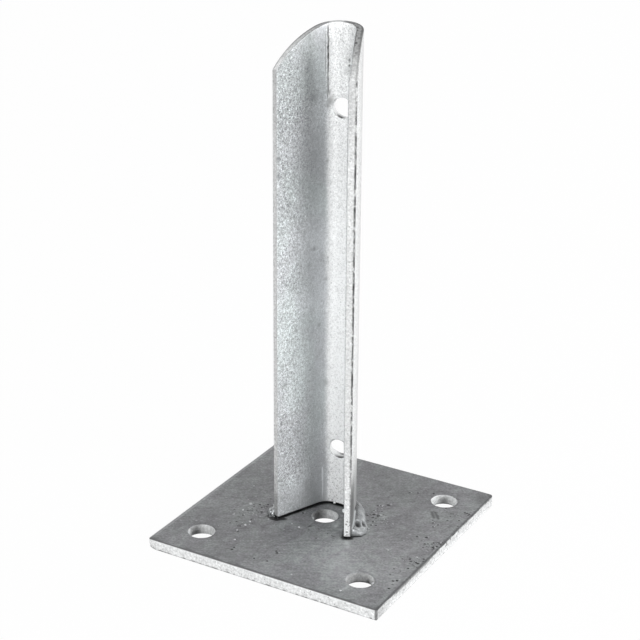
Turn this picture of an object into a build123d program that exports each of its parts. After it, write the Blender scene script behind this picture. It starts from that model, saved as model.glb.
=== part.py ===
from build123d import *
import os
from math import cos, radians, sin, sqrt, tan

# A screw-down post base. X and Y lie along the plate's sides, Z points up along the upright,
# and the origin is the middle of the plate's underside. All sizes are in millimetres.

# Base plate
plate_side = 100.0
plate_thickness = 4.5
plate_corner_radius = 1.2
plate_edge_radius = 0.5
anchor_pitch = 70.0
anchor_hole_diameter = 10.5
centre_hole_diameter = 10.5

# Strip that the upright is bent from
strip_width = 60.0
strip_thickness = 2.7
strip_edge_radius = 0.4
web_flat = 3.0
bend_radius = 6.0
bend_turn = 67.0
web_setback = 10.5
upright_height = 194.5
crown_rise = 15.0

# Cross-screw holes through the web, measured up from the plate's top
screw_hole_diameter = 7.5
lower_screw_height = 25.0
screw_spacing = 138.0

# Fillet weld round the upright's outer faces
weld_leg = 4.0
weld_bulge = 0.35
weld_end_gap = 3.0

# How far cutting shapes run past the faces that they cut
cut_margin = 0.8
crown_steps = 48

plate_top = plate_thickness
turn = radians(bend_turn)
bend_length = (bend_radius + strip_thickness / 2) * turn
flange_flat = strip_width / 2 - web_flat / 2 - bend_length


def base_plate():
    """Square plate with four anchor holes and one in the middle."""
    plate = Box(plate_side, plate_side, plate_thickness, align=(Align.CENTER, Align.CENTER, Align.MIN))
    plate = fillet(plate.edges().filter_by(Axis.Z), plate_corner_radius)
    rims = plate.faces().sort_by(Axis.Z)[0].edges() + plate.faces().sort_by(Axis.Z)[-1].edges()
    plate = fillet(rims, plate_edge_radius)
    cutter_height = plate_thickness + 2 * cut_margin
    cutter_middle = plate_thickness / 2
    anchor_cutter = Cylinder(anchor_hole_diameter / 2, cutter_height)
    for place in GridLocations(anchor_pitch, anchor_pitch, 2, 2):
        plate -= Pos(0, 0, cutter_middle) * place * anchor_cutter
    plate -= Pos(0, 0, cutter_middle) * Cylinder(centre_hole_diameter / 2, cutter_height)
    return plate


def strip_line(offset, shortened=0.0):
    """The bent strip's line in plan, an offset outside its inner face, from left end to right end."""
    radius = bend_radius + offset
    tangent = radius * tan(turn / 2)
    corner_x = web_flat / 2 + tangent
    corner_y = web_setback + offset
    run = tangent + flange_flat - shortened
    end_x = corner_x + run * cos(turn)
    end_y = corner_y - run * sin(turn)
    return FilletPolyline(
        (-end_x, end_y), (-corner_x, corner_y), (corner_x, corner_y), (end_x, end_y), radius=radius
    )


def strip_place(length, offset):
    """Plan position of a point by its length along the flat strip from the web's middle."""
    side = -1 if length < 0 else 1
    along = abs(length)
    radius = bend_radius + offset
    bent = min(max(along - web_flat / 2, 0), bend_length) / bend_length * turn
    flat = max(along - web_flat / 2 - bend_length, 0)
    x = min(along, web_flat / 2) + radius * sin(bent) + flat * cos(turn)
    y = web_setback + offset - radius * (1 - cos(bent)) - flat * sin(turn)
    return side * x, y


def crown_height(length):
    """Height of the strip's arched end above the plate, by length along the flat strip."""
    half = strip_width / 2
    crown_radius = (half**2 + crown_rise**2) / (2 * crown_rise)
    reach = min(abs(length), half)
    return upright_height - crown_radius + sqrt(crown_radius**2 - reach**2)


def crown_cutter():
    """Everything above the arched end, which was cut square through the strip before it was bent."""
    half = strip_width / 2 + cut_margin
    lengths = [half * (2 * step / crown_steps - 1) for step in range(crown_steps + 1)]
    edges = []
    for offset in (-cut_margin, strip_thickness + cut_margin):
        points = [(*strip_place(length, offset), crown_height(length)) for length in lengths]
        edges.append(Spline(*points))
    arch = Face.make_surface_from_curves(edges[0].edge(), edges[1].edge())
    return extrude(arch, amount=2 * crown_rise, dir=(0, 0, 1))


def strip_section():
    """The bent strip's section, with its two long edges rounded."""
    inner = strip_line(0)
    outer = strip_line(strip_thickness)
    section = make_face([*inner.edges(), Line(inner @ 1, outer @ 1), *outer.edges(), Line(outer @ 0, inner @ 0)])
    corners = section.vertices().sort_by(Axis.Y)[:4]
    return fillet(corners, strip_edge_radius)


def upright():
    """Open channel with splayed flanges, an arched end and two screw holes in its web."""
    channel = extrude(strip_section(), amount=upright_height + cut_margin)
    channel -= crown_cutter()
    web_middle = web_setback + strip_thickness / 2
    drill = Rot(90, 0, 0) * Cylinder(screw_hole_diameter / 2, strip_thickness + 2 * cut_margin)
    for height in (lower_screw_height, lower_screw_height + screw_spacing):
        channel -= Pos(0, web_middle, height) * drill
    return Pos(0, 0, plate_top) * channel


def weld_bead():
    """Fillet weld along the foot of the outer faces, with a rounded start and end."""
    path = strip_line(strip_thickness, weld_end_gap)
    start = Plane(origin=path @ 0, x_dir=(-sin(turn), cos(turn), 0), z_dir=(cos(turn), sin(turn), 0))
    crest = weld_leg / 2 + weld_bulge
    toe, top, foot = (weld_leg, 0), (0, weld_leg), (0, 0)
    outline = [Line(foot, toe), ThreePointArc(toe, (crest, crest), top), Line(top, foot)]
    profile = start * make_face(outline)
    run = sweep(profile, path=path)
    left_end = revolve(profile, axis=Axis(path @ 0, (0, 0, 1)), revolution_arc=90)
    right_end = mirror(left_end, about=Plane.YZ)
    return Pos(0, 0, plate_top) * (run + left_end + right_end)


os.makedirs("parts", exist_ok=True)
for name, piece in (("base_plate", base_plate()), ("upright", upright()), ("weld_bead", weld_bead())):
    export_step(piece, f"parts/{name}.step")
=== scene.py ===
import random
from math import asin, atan2, copysign, cos, degrees, exp, hypot, pi, radians, sin, sqrt

import bmesh
import bpy
from mathutils import Matrix, Vector, noise


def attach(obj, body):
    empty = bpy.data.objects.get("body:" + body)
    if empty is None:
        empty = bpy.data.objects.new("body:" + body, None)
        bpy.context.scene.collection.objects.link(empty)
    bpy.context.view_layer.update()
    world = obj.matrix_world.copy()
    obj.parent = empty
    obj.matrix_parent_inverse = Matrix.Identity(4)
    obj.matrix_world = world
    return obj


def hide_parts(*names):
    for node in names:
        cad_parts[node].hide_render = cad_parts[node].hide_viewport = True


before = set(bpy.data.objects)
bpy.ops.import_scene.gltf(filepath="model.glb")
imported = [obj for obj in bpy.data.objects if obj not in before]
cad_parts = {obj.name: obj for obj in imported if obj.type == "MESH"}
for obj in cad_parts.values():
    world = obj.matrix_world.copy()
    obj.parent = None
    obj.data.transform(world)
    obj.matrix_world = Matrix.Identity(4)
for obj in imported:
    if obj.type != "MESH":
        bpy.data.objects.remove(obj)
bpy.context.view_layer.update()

# Shapes are worked in millimetres and scaled to metres as each piece is finished. In the finishes,
# lengths and heights are in millimetres, levels are greys on screen from 0 to 255, and shares,
# what vertices keep and the strengths of noise run from 0 to 1.
MM = 0.001

# Base plate
PLATE_SIDE = 100.0
HALF_SIDE = PLATE_SIDE / 2
PLATE_THICKNESS = 4.5
PLATE_CELL = 5 / 9
PLATE_STEPS = 6
PLATE_CORNERS = {(-1, -1): 1.5, (1, -1): 0.8, (1, 1): 2.0, (-1, 1): 1.2}
PLATE_RIM = 0.5
ANCHOR = 35.0
BORE_RADIUS = 5.25
BORE_CELL = 10.0
BORE_RINGS = 8
BORE_RIM = 0.22
BORE_FLARE = 0.4
BORES = [(0.0, 0.0)] + [(x, y) for x in (-ANCHOR, ANCHOR) for y in (-ANCHOR, ANCHOR)]

# Strip that the upright is bent from
STRIP_WIDTH = 60.0
HALF_STRIP = STRIP_WIDTH / 2
STRIP_THICKNESS = 2.7
STRIP_STEPS = 4
STRIP_CELL = 2 / 3
STRIP_RIM = 0.4
WEB_FLAT = 3.0
BEND_RADIUS = 6.0
BEND_TURN = radians(67.0)
BEND_ARC = (BEND_RADIUS + STRIP_THICKNESS / 2) * BEND_TURN
WEB_SETBACK = 10.5
UPRIGHT_HEIGHT = 194.5
CROWN_RISE = 15.0
CROWN_START = 60.0
SCREW_RADIUS = 3.75
SCREW_HEIGHTS = (25.0, 163.0)
SCREW_CELL = 8.0
SCREW_RINGS = 6
SCREW_RIM = 0.1
SCREW_FLARE = 0.7

# Fillet weld
WELD_LEG = 4.0
WELD_BULGE = 0.35
WELD_END_GAP = 3.0
WELD_CORNER = HALF_STRIP - WELD_END_GAP
WELD_BURIED = 0.2
WELD_STEPS = 108
WELD_ARC_STEPS = 16
WELD_CAP_STEPS = 14

# Studio: softboxes are azimuth, elevation, distance, width, power and whether they show in reflections
AMBIENT = 0.40
SOFTBOXES = [
    (0.0, 14.0, 1.3, 0.9, 7.0, True),
    (72.0, 14.0, 1.3, 0.8, 13.0, True),
    (145.0, 18.0, 1.3, 0.8, 6.0, False),
    (210.0, 25.0, 1.5, 1.0, 2.5, False),
]
LAMP_AIM = (0, 0, 0.09)
FLOOR_WHITE = 0.97
CAMERA_SIDE = (30.96, 22.048)
CAMERA_AIM = (-0.125595, 0.18257, 0.0045)
CAMERA_DISTANCE = 0.86475
CAMERA_LENS = 94.18
CAMERA_SHIFT = (30 / 640, -15 / 640)


def step(value, low, high):
    """0 below low, 1 above high, and a smooth rise between them."""
    share = min(max((value - low) / (high - low), 0.0), 1.0)
    return share * share * (3 - 2 * share)


def fall(value, low, high):
    """1 below low, 0 above high, and a smooth fall between them."""
    return 1 - step(value, low, high)


def hump(away, width):
    """1 in the middle, and almost nothing two widths away."""
    return exp(-((away / width) ** 2))


def wander(point, size, seed=0.0):
    """Soft noise from -1 to 1 whose lumps are about size across."""
    return noise.noise(Vector((point[0] / size + seed, point[1] / size - seed, point[2] / size + 3 * seed)))


def apart(place, x, y):
    """How far a place is from a point in plan, or on the flat strip."""
    return hypot(place.x - x, place.y - y)


def patched(place, patches):
    """What soft patches add at a place: each patch is its own place, its radius and its levels."""
    return sum(levels * hump(apart(place, x, y), radius) for x, y, radius, levels in patches)


def turned_from(angle, middle):
    """Degrees from middle to angle, by the shorter way."""
    return (angle - middle + 180) % 360 - 180


def along(stops, place):
    """A value read between stops, each a place and its value, and held past the end ones."""
    if place <= stops[0][0]:
        return stops[0][1]
    for (low, first), (high, second) in zip(stops, stops[1:]):
        if place <= high:
            return first + (second - first) * (place - low) / (high - low)
    return stops[-1][1]


def deepen(vertex, layer, value):
    """Raises a number kept on a vertex, if the new value is larger."""
    vertex[layer] = max(vertex[layer], value)


# Finishes


class Reading:
    """One value in a finish, which takes part in sums as a number does."""

    def __init__(self, finish, socket):
        self.finish = finish
        self.socket = socket

    def worked(self, operation, *values):
        return self.finish.node("ShaderNodeMath", {"operation": operation}, values)

    def __add__(self, other):
        return self.worked("ADD", self, other)

    def __sub__(self, other):
        return self.worked("SUBTRACT", self, other)

    def __rsub__(self, other):
        return self.worked("SUBTRACT", other, self)

    def __mul__(self, other):
        return self.worked("MULTIPLY", self, other)

    def __pow__(self, other):
        return self.worked("POWER", self, other)

    def __abs__(self):
        return self.worked("ABSOLUTE", self)

    __radd__ = __add__
    __rmul__ = __mul__

    def larger(self, other):
        return self.worked("MAXIMUM", self, other)

    def step(self, low, high):
        """0 at low, 1 at high, smooth between, and held outside them."""
        settings = {"interpolation_type": "SMOOTHSTEP"}
        inputs = {"Value": self, "From Min": low, "From Max": high}
        return self.finish.node("ShaderNodeMapRange", settings, inputs)

    def fall(self, low, high):
        """1 at low, 0 at high, smooth between, and held outside them."""
        return 1 - self.step(low, high)

    def band(self, low, full, late, high):
        """1 between full and late, and 0 below low and above high."""
        return self.step(low, full) * self.fall(late, high)

    def toward(self, target, share):
        """This value moved a share of the way to a target."""
        return self + (target - self) * share


def set_stops(ramp, levels):
    """Spreads grey levels from 0 to 1 evenly over a colour ramp."""
    last = len(levels) - 1
    for number, level in enumerate(levels):
        if number in (0, last):
            stop = ramp.elements[0 if number == 0 else len(ramp.elements) - 1]
        else:
            stop = ramp.elements.new(number / last)
        stop.color = (level, level, level, 1)


class Finish:
    """A material or world built from shader nodes on the piece's own coordinates."""

    def __init__(self, owner):
        owner.use_nodes = True
        self.owner = owner
        self.tree = owner.node_tree
        self.tree.nodes.clear()

    def node(self, kind, settings=None, inputs=(), output=0):
        made = self.tree.nodes.new(kind)
        for key, value in (settings or {}).items():
            if key == "stops":
                set_stops(made.color_ramp, value)
            else:
                setattr(made, key, value)
        for key, value in inputs.items() if isinstance(inputs, dict) else enumerate(inputs):
            if isinstance(value, Reading):
                self.tree.links.new(value.socket, made.inputs[key])
            else:
                made.inputs[key].default_value = value
        return Reading(self, made.outputs[output]) if made.outputs else None

    def place(self, stretch=(1, 1, 1), turn=0.0):
        """Object coordinates in metres, turned in plan by degrees and then stretched."""
        point = self.node("ShaderNodeTexCoord", output="Object")
        turned = {"Vector": point, "Rotation": (0, 0, -radians(turn))}
        point = self.node("ShaderNodeMapping", None, turned)
        return self.node("ShaderNodeMapping", None, {"Vector": point, "Scale": stretch})

    def clouds(self, point, scale, detail=2.0, roughness=0.5, warp=0.0):
        """Soft noise from about -0.5 to 0.5."""
        inputs = {
            "Vector": point, "Scale": scale, "Detail": detail, "Roughness": roughness, "Distortion": warp,
        }
        return self.node("ShaderNodeTexNoise", None, inputs, "Fac") - 0.5

    def cells(self, point, scale, output):
        return self.node("ShaderNodeTexVoronoi", None, {"Vector": point, "Scale": scale}, output)

    def kept(self, name):
        """A number kept on the piece's vertices."""
        settings = {"attribute_type": "GEOMETRY", "attribute_name": name}
        return self.node("ShaderNodeAttribute", settings, (), "Fac")

    def mix(self, share, first, second):
        settings = {"data_type": "RGBA", "blend_type": "MIX", "clamp_factor": True}
        return self.node("ShaderNodeMix", settings, {0: share, 6: first, 7: second}, 2)

    def curve(self, value, low, high, levels):
        """Levels that stand at even steps from low to high, joined by straight lines."""
        top = max(levels)
        share = self.node("ShaderNodeMapRange", None, {"Value": value, "From Min": low, "From Max": high})
        stops = [level / top for level in levels]
        return self.node("ShaderNodeValToRGB", {"stops": stops}, [share], "Color") * top

    def specks(self, point, scale, amount, low, high):
        """Small round spots, one in some of the cells: amount is the share of cells that have one."""
        near = self.cells(point, scale, "Distance")
        chosen = self.node("ShaderNodeSeparateColor", None, [self.cells(point, scale, "Color")])
        return near.fall(low, high) * chosen.step(1 - amount - 0.02, 1 - amount + 0.02)

    def seen_white(self):
        """1 for the rays that are to meet plain white: seen, mirrored or passed through."""
        seen, shiny, through = (
            self.node("ShaderNodeLightPath", output=ray)
            for ray in ("Is Camera Ray", "Is Glossy Ray", "Is Transmission Ray")
        )
        return seen.larger(shiny).larger(through)

    def grey(self, level, tint):
        """A grey from its level of 0 to 255 on screen, with a tint that white would have."""
        light = ((level * (1 / 255) + 0.055) * (1 / 1.055)) ** 2.4
        return self.mix(light, (0, 0, 0, 1), tint)

    def close(self, level, tint, rough, metallic, height, strength=0.7, distance=0.00016):
        """Joins everything into a coat of zinc whose fine relief follows height."""
        relief = {"Height": height, "Strength": strength, "Distance": distance}
        normal = self.node("ShaderNodeBump", None, relief)
        colour = self.grey(level, tint)
        coat = {"Base Color": colour, "Roughness": rough, "Metallic": metallic, "Normal": normal}
        shader = self.node("ShaderNodeBsdfPrincipled", None, coat)
        self.node("ShaderNodeOutputMaterial", None, {"Surface": shader})
        return self.owner


WHITE = (1.0, 1.0, 1.0, 1.0)
COOL = (0.955, 0.993, 1.012, 1.0)
VIOLET = (0.985, 0.985, 1.03, 1.0)
GREENISH = (0.955, 1.0, 1.005, 1.0)
NEUTRAL = (0.985, 0.997, 1.0, 1.0)
BLUISH = (0.966, 0.988, 1.016, 1.0)
MINTY = (0.944, 0.998, 1.004, 1.0)


def plate_finish():
    """Dipped zinc, grainy on the sheared sides, painted dark on the top and pale on the sides, partly as
    painted shade and light.
    """
    zinc = Finish(bpy.data.materials.new("plate_zinc"))
    point = zinc.place()
    clouds = zinc.clouds(point, 38, 2, 0.5, 0.5)
    patches = zinc.clouds(zinc.place((1.4, 0.8, 1)), 120, 3, 0.6, 1.2)
    blotch = zinc.clouds(point, 330, 3, 0.6)
    grain = zinc.clouds(point, 1150, 2, 0.6)
    streaks = zinc.clouds(zinc.place((150, 900, 400), 31), 1.0, 3, 0.6)
    speckle = zinc.clouds(point, 1000, 3, 0.7)
    cut = zinc.kept("cut")
    bore = zinc.kept("bore")
    shade = zinc.kept("shade")
    light = zinc.kept("light")

    pits = zinc.specks(zinc.place((0.85, 1.15, 1)), 620, 0.5, 0.12, 0.34) * zinc.kept("pitted")
    scars = zinc.specks(zinc.place((0.6, 1.3, 1)), 900, 0.2, 0.1, 0.34) * patches.step(-0.02, 0.12)
    shine = zinc.specks(zinc.place((0.7, 1.2, 1)), 520, 0.12, 0.08, 0.26) * patches.fall(-0.05, 0.12)
    # The top is painted dark and the sides pale, partly as painted shade and light on one coat of zinc.
    top = 131 + shade + clouds * 34 + patches * 60 + blotch * 40 + grain * 76 + streaks * 46
    top = top.toward(84, scars * 0.55).toward(48, pits * 0.9).toward(205, shine * 0.5)

    side = 220 + shade + speckle * 150 + blotch * 30 + light * 30
    side = side.toward(120, zinc.specks(point, 700, 0.26, 0.08, 0.3) * 0.6)
    # Painted light and shade in the holes' walls.
    wall = zinc.kept("wall") * 255 + blotch * 60 + speckle * 110
    side = side.toward(wall, bore)

    level = top.toward(side, cut.step(0.4, 0.85)).toward(228, light * (1 - bore))
    chips = zinc.specks(point, 620, 0.6, 0.16, 0.44) * zinc.kept("chipped")
    level = level.toward(104, chips).toward(48, zinc.kept("mark"))
    # Painted contact shadow and flux dirt along the upright's foot.
    level = level.toward(10, zinc.kept("foot") * (1 + grain * 1.6 + blotch * 1.2))

    tint = zinc.mix(cut, zinc.mix(patches.step(-0.12, 0.12), VIOLET, GREENISH), NEUTRAL)
    height = blotch * 0.5 + grain * 0.6 + streaks * 0.35 - pits * 1.1 - scars * 0.5 + shine * 0.7
    rough = 0.52 + blotch * 0.3 + pits * 0.15
    return zinc.close(level, tint, rough, 0.15, height)


# Levels by distance from the web's middle, every 3 mm out to the strip's edge, partly painted light and
# shade: palest on the web, darkest in the band beside each bend
FACE_LEVELS = [236, 235, 230, 213, 208, 200, 203, 209, 211, 209, 204]
# How coarse the grain is, by the same distances
GRAIN_SHARES = [0.7, 0.7, 0.55, 0.5, 0.5, 0.6, 0.85, 1.2, 1.5, 1.6, 1.6]
# Levels of the outer faces, from the left edge of the strip to the right, every 6 mm; the rise at the right
# edge is a painted reflection of the light
OUTER_LEVELS = [198, 200, 204, 204, 200, 198, 200, 204, 212, 222, 232]
# How many levels darker the flanges are painted, by height above the plate, every 20 mm
FLANGE_DARKENING = [24, 17, 12, 5, 4, 0, 15, 27, 27, 24, 22]
# Levels of the arched end, from the left edge of the strip to the right, every 6 mm
CROWN_LEVELS = [236, 222, 200, 172, 148, 138, 148, 160, 172, 190, 200]


def upright_finish():
    """Light dipped zinc, painted darker in a soft band beside each bend and brighter on the web, partly as
    painted shade and light.
    """
    zinc = Finish(bpy.data.materials.new("upright_zinc"))
    point = zinc.place()
    length = zinc.kept("strip_length")
    reached = abs(length)
    right = length.step(-1, 1)
    left = 1 - right
    rise = zinc.node("ShaderNodeSeparateXYZ", None, [point], "Z") * 1000 - PLATE_THICKNESS
    low = rise.fall(9, 28)
    crown = rise.step(179.3, 180.1)
    pale_top = length.band(-7.5, -5.5, -1.5, 0.5)
    inner, cut, bore = (zinc.kept(name) for name in ("inner", "cut", "bore"))
    inside = inner.step(0.3, 0.7)
    drift = zinc.clouds(zinc.place((1, 1, 0.45)), 75, 3, 0.55, 0.5)
    patches = zinc.clouds(zinc.place((1, 1, 0.6)), 42, 2, 0.5, 0.6)
    blotch = zinc.clouds(zinc.place((1, 1, 0.7)), 300, 3, 0.6)
    fine = zinc.clouds(point, 2600, 1, 0.6)
    grain = zinc.clouds(zinc.place((1, 1, 0.8)), 1250, 2, 0.75, 0.4) + fine * 0.9
    speckle = zinc.clouds(point, 1200, 3, 0.7)
    shine = zinc.specks(point, 820, 0.2, 0.08, 0.28)
    pits = zinc.specks(zinc.place((0.9, 1.1, 0.8)), 900, 0.16, 0.08, 0.30)
    lean = 0.5 + rise.fall(60, 140) * 0.5 + rise.fall(10, 55) * 0.9
    far = reached + drift * 4.0 + lean * left
    flange = far.step(6, 9)
    coarse = zinc.curve(far, 0, HALF_STRIP, GRAIN_SHARES)
    coarse = coarse + rise.step(150, 165) * 0.3 + low * (1 - flange) * 0.7
    smoother = rise.fall(6, 16) + rise.step(164, 174) * 0.4
    coarse = coarse * (1 - smoother * flange * 0.5)

    def faces():
        """Levels of the strip's inner and outer faces."""
        level = zinc.curve(far, 0, HALF_STRIP, FACE_LEVELS) - zinc.curve(rise, 0, 200, FLANGE_DARKENING) * flange
        # Painted light: the web is lighter lower down, against the shade that the flanges and the plate put
        # on it.
        level = level + (1 - flange) * rise.fall(30, 185) * 14 + zinc.kept("shade")
        level = level + far.band(6, 8, 12, 16) * rise.step(148, 164) * 20
        outer = zinc.curve(length, -HALF_STRIP, HALF_STRIP, OUTER_LEVELS)
        # Painted shade and reflection of the dark plate on the outer faces near the foot, strongest on the
        # right flange.
        level = (outer - low * (28 + length.step(17, 24) * 84)).toward(level, inside)
        level = level + drift * 26 + patches * flange * 34 + blotch * 22 + grain * coarse * 140
        level = level.toward(105, pits * 0.4 * coarse).toward(246, shine * 0.5 * coarse)
        dross = rise.band(112, 128, 148, 158) * 0.8 + rise.band(60, 75, 115, 125) * 0.2
        dross = dross * zinc.specks(point, 780, 0.5, 0.2, 0.42) * (1 - inside)
        return level.toward(96, dross * length.step(3, 9) * 0.8)

    def sides():
        """Levels of the strip's two sheared edges and of its arched end."""
        # Painted shade darkens the left end face near the foot; the right end face is paler low down.
        edge = 208 - right * 3 - rise.fall(8, 13) * left * 36 + rise.fall(8, 40) * right * 26
        edge = edge - rise.step(152, 166) * 14
        edge = edge.toward(112, zinc.specks(point, 900, 0.3, 0.10, 0.34) * 0.5)
        edge = edge.toward(140, zinc.specks(point, 800, 0.7, 0.2, 0.5) * rise.fall(7, 13) * right * 0.8)
        ragged = zinc.specks(point, 700, 0.75, 0.34, 0.56) * (0.3 + inner.step(0.4, 0.7) * 0.7)
        ragged = ragged * right * reached.fall(16, 26)
        arched = zinc.curve(length, -HALF_STRIP, HALF_STRIP, CROWN_LEVELS)
        arched = (arched + blotch * 70 + pale_top * 60).toward(64, ragged * 0.9)
        return edge.toward(arched, crown) + speckle * 140

    def rims(level):
        """Draws the dark and light lines along the strip's rims."""
        outer_rim = cut.band(0.02, 0.12, 0.3, 0.6) * inner.fall(0.3, 0.6)
        inner_rim = cut.band(0.12, 0.35, 0.65, 0.95) * inner.step(0.4, 0.7)
        broken = zinc.clouds(zinc.place((1, 1, 0.5)), 800, 3, 0.7).step(-0.10, 0.06)
        beside = reached.step(29.0, 29.6) * inner.fall(0.1, 0.35) * (1 - crown)
        raised = rise.step(10, 55)
        dark = (outer_rim * raised).larger(beside * (0.4 + raised * 0.6)) * right * (1 - crown)
        level = level.toward(62, dark * (0.14 + broken * 0.72))
        faint = (left * reached.step(12, 24)).larger(right * reached.step(9, 14)) * 0.45
        strong = (0.6 + reached.fall(17, 27) * 0.3 + blotch * 0.9) * (1 - pale_top * 0.85 - faint)
        level = level.toward(84, cut.step(0.02, 0.12) * inner.fall(0.14, 0.42) * crown * strong)
        level = level.toward(120, outer_rim * left * (1 - crown) * 0.3)
        near = 0.1 + reached.fall(14, 25) * (0.3 + right * 0.45)
        level = level.toward(96, inner_rim * crown * near * (1 - pale_top * 0.9))
        inner_rim = inner_rim * (1 - crown)
        level = level.toward(188 + rise.fall(10, 18) * 60, inner_rim * right * 0.7)
        level = level.toward(176, inner_rim * left * 0.6)
        # Painted shade on the right flange's outer face near the foot.
        level = level.toward(112, inner.fall(0.0, 0.1) * rise.fall(13, 25) * length.step(17, 24) * 0.9)
        line = length.band(-29.6, -29.3, -28.9, -28.5) * inner.step(0.8, 1) * cut.fall(0.05, 0.3)
        return level.toward(236, line * rise.fall(90, 125) * 0.14)

    level = rims(faces().toward(sides(), cut.step(0.35, 0.8)))
    # Painted light and shade in the screw holes' walls.
    level = level.toward(zinc.kept("wall") * 255 + speckle * 30, bore.step(0.4, 0.95))
    level = level.toward(50, zinc.kept("mark") * (0.95 + blotch * 1.6 + grain * 1.4))
    # The strip's lowest millimetre is painted near-black as shade in the gap under its foot.
    level = level.toward(4, rise.fall(0.35, 1.0)).toward(246, zinc.kept("light"))
    tinge = zinc.mix(patches.step(-0.12, 0.12), BLUISH, MINTY)
    tint = zinc.mix(flange * inside * (1 - cut), NEUTRAL, tinge)
    height = blotch * 0.5 + grain * coarse * 1.3 - pits * 0.8 + shine * 0.6
    rough = 0.40 + inner * 0.08 + blotch * 0.25 + cut * 0.1 + pits * 0.1 - bore * 0.3
    return zinc.close(level, tint, rough, 0.4, height)


# Levels across the bead, from its toe on the plate to its top edge, darker towards the top as painted shade
# beside the strip
BEAD_LEVELS = [130, 146, 150, 172, 160, 146, 140, 126, 100, 90, 92]


def weld_finish():
    """Lumpy zinc over weld metal, with painted shade in the pits and beside the strip and painted highlights
    on its edge and lumps.
    """
    zinc = Finish(bpy.data.materials.new("weld_zinc"))
    point = zinc.place()
    clouds = zinc.clouds(point, 420, 3, 0.6, 0.5)
    grain = zinc.clouds(point, 1700, 2, 0.6)
    spatter = zinc.kept("spatter")
    level = zinc.curve(zinc.kept("steep"), 0, 1, BEAD_LEVELS) + clouds * 70 + grain * 70
    level = level.toward(22, zinc.specks(point, 1150, 0.6, 0.3, 0.52) * spatter)
    level = level.toward(252, zinc.specks(zinc.place((1.1, 1, 1)), 1250, 0.34, 0.26, 0.48) * spatter)
    # Painted shade in the pits and on the right end's lower part, then painted highlights.
    level = level.toward(38, zinc.kept("hollow")).toward(246, zinc.kept("light"))
    return zinc.close(level, COOL, 0.42 + clouds * 0.3, 0.4, clouds + grain * 0.4, 0.5, 0.0002)


# Shapes that the pieces share


def flat_sheet(bm, width, height, columns, rows, middle):
    """A flat sheet of square cells."""
    shape = Matrix.Translation(middle) @ Matrix.Diagonal((width, height, 1, 1))
    bmesh.ops.create_grid(bm, x_segments=columns, y_segments=rows, size=0.5, matrix=shape)


def mark_hole(bm, centre, cell, radius, aim):
    """Finds the square of cells round a hole and notes where each corner of its edge meets the round rim."""
    middle = Vector((*centre, 0))

    def reach(point):
        return max(abs(point.x - middle.x), abs(point.y - middle.y))

    faces = [f for f in bm.faces if reach(f.calc_center_median()) < cell]
    held = set(faces)
    edges = [e for e in {e for f in faces for e in f.edges} if sum(f in held for f in e.link_faces) == 1]
    for vertex in {v for e in edges for v in e.verts}:
        place = (vertex.co - middle).xy
        quarter = round(place.angle_signed(Vector((1, 0))) / (pi / 2))
        reached = max(abs(place.x), abs(place.y))
        side = Matrix.Rotation(-quarter * pi / 2, 2) @ place
        angle = quarter * pi / 2 + side.y / reached * pi / 4
        vertex[aim] = middle + radius * Vector((cos(angle), sin(angle), 0))
    return faces, edges


def grow_edges(bm, edges):
    """Extrudes edges where they lie, and gives the new vertices and the new edges."""
    grown = bmesh.ops.extrude_edge_only(bm, edges=edges)["geom"]
    verts = {g for g in grown if isinstance(g, bmesh.types.BMVert)}
    return verts, [g for g in grown if isinstance(g, bmesh.types.BMEdge) and verts.issuperset(g.verts)]


def open_hole(bm, faces, edges, rings, aim, start):
    """Opens a marked square and steps its edge in to the round rim, a ring of faces at a time."""
    for vertex in {v for e in edges for v in e.verts}:
        vertex[start] = vertex.co
    bmesh.ops.delete(bm, geom=faces, context="FACES")
    for ring in range(1, rings + 1):
        verts, edges = grow_edges(bm, edges)
        for vertex in verts:
            vertex.co = vertex[start].lerp(vertex[aim], ring / rings)


def thicken(bm, depth, steps):
    """Gives the flat sheet its thickness along Z, with steps across the sides."""
    grown = bmesh.ops.extrude_face_region(bm, geom=bm.faces[:])["geom"]
    lifted = [g for g in grown if isinstance(g, bmesh.types.BMVert)]
    bmesh.ops.translate(bm, vec=(0, 0, depth), verts=lifted)
    side_edges = [e for e in bm.edges if abs(e.verts[0].co.z - e.verts[1].co.z) > depth / 2]
    bmesh.ops.subdivide_edges(bm, edges=side_edges, cuts=steps - 1, use_grid_fill=True)
    face_outwards(bm)


def round_rims(bm, size, chosen, segments=3):
    """Rounds the sharp edges that lie along the sheet's two faces and that chosen picks."""
    rims = []
    for edge in bm.edges:
        first, second = (v.co for v in edge.verts)
        flat = abs(first.z - second.z) < 1e-4
        if flat and edge.calc_face_angle(0) > radians(60) and chosen((first + second) / 2):
            rims.append(edge)
    bmesh.ops.bevel(bm, geom=rims, offset=size, offset_type="OFFSET", segments=segments, profile=0.5,
                    affect="EDGES", clamp_overlap=False, material=-1)


def note_cut(bm, cut):
    """Notes how far each point of the flat sheet belongs to its sheared sides, from 0 to 1."""
    bm.normal_update()
    for vertex in bm.verts:
        vertex[cut] = 1 - abs(vertex.normal.z)


def face_outwards(bm):
    """Turns all faces of a closed shape outwards."""
    bmesh.ops.recalc_face_normals(bm, faces=bm.faces)
    if bm.calc_volume(signed=True) < 0:
        bmesh.ops.reverse_faces(bm, faces=bm.faces)


def lift(bm, height):
    """Moves each vertex along its normal by height(vertex), all from the same shape."""
    bm.normal_update()
    for vertex, rise in [(v, height(v)) for v in bm.verts]:
        vertex.co += vertex.normal * rise


def add_bead(bm, middle, radii, **values):
    """A small rounded bead, with values in its layers."""
    shape = Matrix.Translation(middle) @ Matrix.Diagonal((*radii, 1))
    for vertex in bmesh.ops.create_icosphere(bm, subdivisions=2, radius=1.0, matrix=shape)["verts"]:
        for layer, value in values.items():
            vertex[bm.verts.layers.float[layer]] = value


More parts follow.
